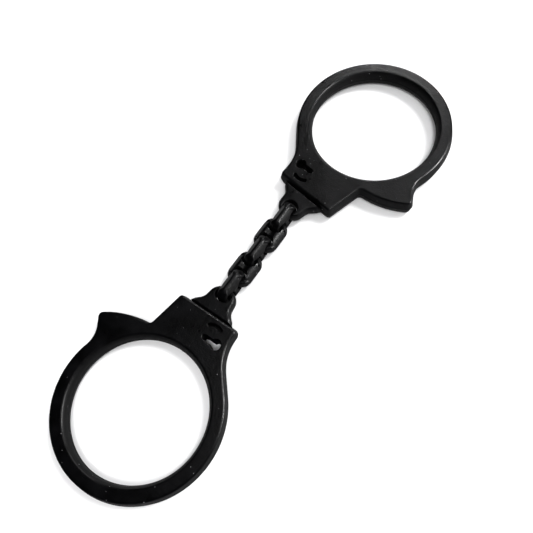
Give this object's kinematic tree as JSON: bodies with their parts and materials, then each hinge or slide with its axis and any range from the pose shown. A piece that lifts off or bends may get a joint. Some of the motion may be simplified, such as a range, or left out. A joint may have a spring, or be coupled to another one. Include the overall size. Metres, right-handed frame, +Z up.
{
  "type": "handcuffs",
  "caption": "Soft handcuffs: closed ring cuffs, each with a horned rim and a flat case with a keyhole, joined by a short chain through swivels.",
  "frame": {"origin": "centre of the bounding box on the surface that the handcuffs lie on", "axes": "+X along the chain from cuff_a to cuff_b, +Z up out of the cuffs' faces"},
  "size_m": [0.2552, 0.0914, 0.0126],
  "materials": {
    "cuff_silicone": "matt moulded silicone",
    "chain_silicone": "matt moulded silicone"
  },
  "bodies": {
    "cuff_a": {"cuff_a": "cuff_silicone"},
    "swivel_a": {"swivel_a": "chain_silicone"},
    "link_1": {"link_1": "chain_silicone"},
    "link_2": {"link_2": "chain_silicone"},
    "link_3": {"link_3": "chain_silicone"},
    "link_4": {"link_4": "chain_silicone"},
    "link_5": {"link_5": "chain_silicone"},
    "swivel_b": {"swivel_b": "chain_silicone"},
    "cuff_b": {"cuff_b": "cuff_silicone"}
  },
  "joints": [
    {"name": "swivel_a_spin", "type": "hinge", "parent": "cuff_a", "child": "swivel_a", "pos_m": [-0.02753, 0.00296, 0.0063], "axis": [1, 0, 0], "continuous": true},
    {"name": "link_1_pitch", "type": "hinge", "parent": "swivel_a", "child": "link_1", "pos_m": [-0.02398, 0.00296, 0.0063], "axis": [0, 1, 0], "range_deg": [-30, 30]},
    {"name": "link_2_yaw", "type": "hinge", "parent": "link_1", "child": "link_2", "pos_m": [-0.01353, 0.00296, 0.0063], "axis": [0, 0, 1], "range_deg": [-30, 30]},
    {"name": "link_3_pitch", "type": "hinge", "parent": "link_2", "child": "link_3", "pos_m": [-0.00308, 0.00296, 0.0063], "axis": [0, 1, 0], "range_deg": [-30, 30]},
    {"name": "link_4_yaw", "type": "hinge", "parent": "link_3", "child": "link_4", "pos_m": [0.00737, 0.00296, 0.0063], "axis": [0, 0, 1], "range_deg": [-30, 30]},
    {"name": "link_5_pitch", "type": "hinge", "parent": "link_4", "child": "link_5", "pos_m": [0.01782, 0.00296, 0.0063], "axis": [0, 1, 0], "range_deg": [-30, 30]},
    {"name": "swivel_b_yaw", "type": "hinge", "parent": "link_5", "child": "swivel_b", "pos_m": [0.02827, 0.00296, 0.0063], "axis": [0, 0, 1], "range_deg": [-21, 39]},
    {"name": "cuff_b_spin", "type": "hinge", "parent": "swivel_b", "child": "cuff_b", "pos_m": [0.08837, -0.00656, 0.0063], "axis": [0.9877, -0.1564, 0], "continuous": true}
  ]
}
